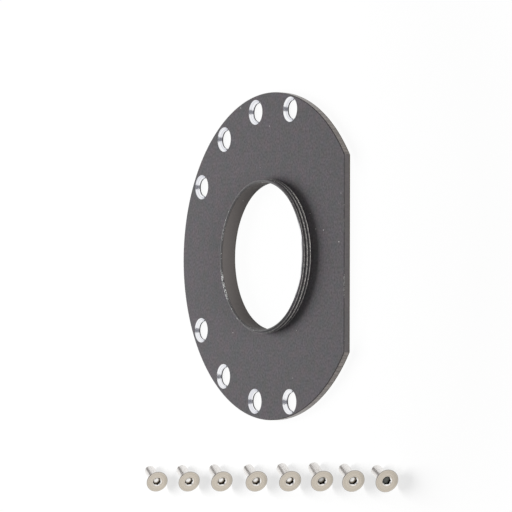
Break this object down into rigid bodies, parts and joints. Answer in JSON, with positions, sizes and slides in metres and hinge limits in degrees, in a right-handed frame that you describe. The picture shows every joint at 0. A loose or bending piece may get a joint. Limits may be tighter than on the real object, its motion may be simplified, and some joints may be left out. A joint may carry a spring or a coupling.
{
  "type": "telescope camera adapter",
  "caption": "Round black adapter plate with one flat side, a short male camera thread round a clear aperture and countersunk screw holes, with its fixing screws loose beside it.",
  "frame": {"origin": "centre of the clear aperture on the plate's back face, which lies on the surface", "axes": "+Z along the optical axis, out of the threaded collar; +X towards the flat side of the plate"},
  "size_m": [0.1227, 0.1105, 0.0061],
  "materials": {
    "black_anodised": "matte black anodised aluminium, bare bright metal in the countersinks",
    "screw_steel": "satin stainless steel"
  },
  "bodies": {
    "root": {"adapter_plate": "black_anodised", "fixing_screw_1": "screw_steel", "fixing_screw_2": "screw_steel", "fixing_screw_3": "screw_steel", "fixing_screw_4": "screw_steel", "fixing_screw_5": "screw_steel", "fixing_screw_6": "screw_steel", "fixing_screw_7": "screw_steel", "fixing_screw_8": "screw_steel"}
  },
  "joints": []
}
